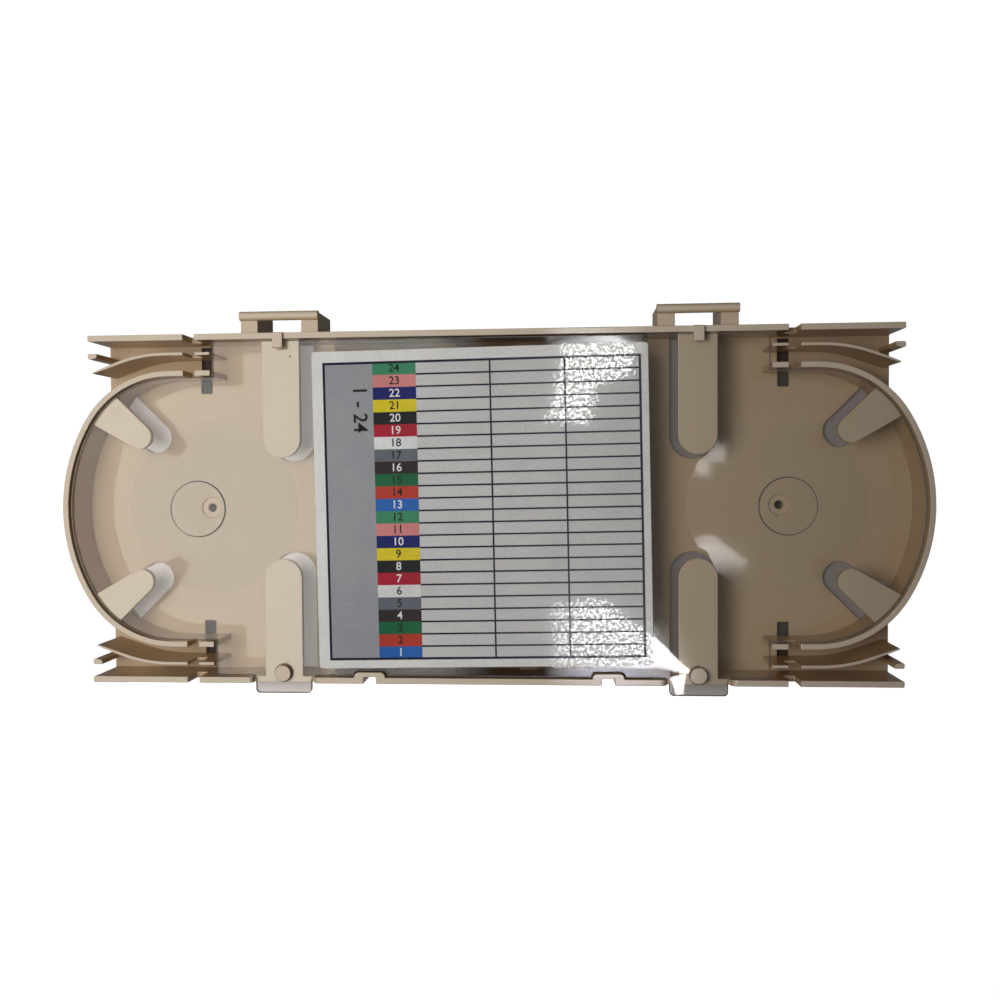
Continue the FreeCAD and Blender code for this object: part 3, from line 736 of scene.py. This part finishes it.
mirrorLook = {
    "height": 0.6,              # where they hang
    "frame": 1000,              # the photograph's side in pixels
    "panels": {
        "window": {
            "corners": ((552, 606, 0.4), (600, 601, 1.0), (654, 638, 1.05),
                        (692, 673, 0.95), (655, 667, 0.85), (556, 667, 0.45)),
            "soft": 0.04, "strength": 20.0, "covered": False, "colour": (0.97, 0.96, 1.0)},
        "windowFoot": {
            "corners": ((545, 667, 0.0), (600, 667, 0.45), (640, 667, 0.5), (668, 668, 0.2),
                        (672, 690, 0.1), (640, 700, 0.35), (545, 700, 0.0)),
            "soft": 0.03, "strength": 20.0, "covered": False, "colour": (0.90, 0.88, 1.0)},
        "windowSpot": {
            "corners": ((671, 676, 1.0), (684, 674, 1.0), (684, 692, 1.0), (677, 693, 1.0)),
            "soft": 0.15, "strength": 20.0, "covered": False, "colour": (1.0, 0.99, 0.98)},
        "tube": {
            "corners": ((566, 346, 1.0), (634, 346, 1.0), (628, 374, 1.0),
                        (594, 384, 1.2), (590, 420, 1.2), (550, 420, 0.7)),
            "soft": 0.08, "strength": 20.0, "covered": False, "colour": (1.0, 0.99, 0.98)},
        "tubeFoot": {
            "corners": ((538, 322, 0.0), (574, 322, 0.5), (600, 326, 0.2), (644, 330, 0.0),
                        (644, 345, 0.1), (622, 345, 0.9), (576, 345, 0.8), (544, 345, 0.0)),
            "soft": 0.05, "strength": 20.0, "covered": False, "colour": (0.94, 0.96, 1.0)},
        "ceiling": {
            "corners": ((-260, 240, 1.0), (430, 240, 1.0), (440, 760, 1.0), (-260, 760, 1.0)),
            "soft": 0.15, "strength": 3.5, "covered": True, "colour": (1.0, 0.99, 0.98)},
        "ceilingEnd": {
            "corners": ((560, 240, 0.12), (1200, 240, 0.14), (1200, 760, 0.14), (560, 760, 0.12)),
            "soft": 0.15, "strength": 3.5, "covered": True, "colour": (1.0, 0.93, 0.86)},
    },
}
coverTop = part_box("cover")[1].z


def mirroredPoint(pixel, look):
    # where the ray through a pixel ends up once the cover's top has mirrored it
    focal = camera.data.lens / camera.data.sensor_width * look["frame"]
    middle = look["frame"] / 2
    towards = Vector(((pixel[0] - middle) / focal, (middle - pixel[1]) / focal, -1.0))
    towards.rotate(camera.rotation_euler)
    start = camera.location
    onCover = start + towards * ((start.z - coverTop) / -towards.z)
    upwards = Vector((towards.x, towards.y, -towards.z))
    return onCover + upwards * ((look["height"] - coverTop) / -towards.z)


def panelMesh(name, part, look):
    # the strength fades to nothing over the soft margin
    corners = [Vector(corner[:2]) for corner in part["corners"]]
    middle = sum(corners, Vector((0, 0))) / len(corners)
    shape = bmesh.new()
    inner = [shape.verts.new(mirroredPoint(corner, look)) for corner in corners]
    outer = [shape.verts.new(mirroredPoint(middle + (corner - middle) * (1 + part["soft"]), look))
             for corner in corners]
    shape.faces.new(inner)
    for i in range(len(corners)):
        after = (i + 1) % len(corners)
        shape.faces.new((inner[i], inner[after], outer[after], outer[i]))
    mesh = bpy.data.meshes.new(name)
    shape.to_mesh(mesh)
    shape.free()
    fade = mesh.attributes.new("fade", "FLOAT", "POINT")
    fade.data.foreach_set("value", [corner[2] for corner in part["corners"]] + [0.0] * len(outer))
    return mesh


def panelLight(name, part):
    material, tree = startMaterial(name + "_light")[:2]
    share = addNode(tree, "Attribute", attribute_name="fade")
    path = addNode(tree, "LightPath")
    notDull = calculate(tree, "LESS_THAN", path.outputs["Diffuse Depth"], 0.5)   # lights no dull surface
    strength = calculate(tree, "MULTIPLY", share.outputs["Fac"], part["strength"], notDull)
    glow = addNode(tree, "Emission", {"Color": (*part["colour"], 1.0), "Strength": strength})
    tree.links.new(glow.outputs["Emission"], tree.nodes["Material Output"].inputs["Surface"])
    return material


def addMirrored(name, part, look):
    mesh = panelMesh(name, part, look)
    mesh.materials.append(panelLight(name, part))
    panel = bpy.data.objects.new(name, mesh)
    bpy.context.scene.collection.objects.link(panel)
    panel.visible_camera = False
    panel.visible_diffuse = False
    panel.visible_shadow = False
    panel.visible_glossy = not part["covered"]


for name, part in mirrorLook["panels"].items():
    addMirrored(name, part, mirrorLook)
print("reflections hung")
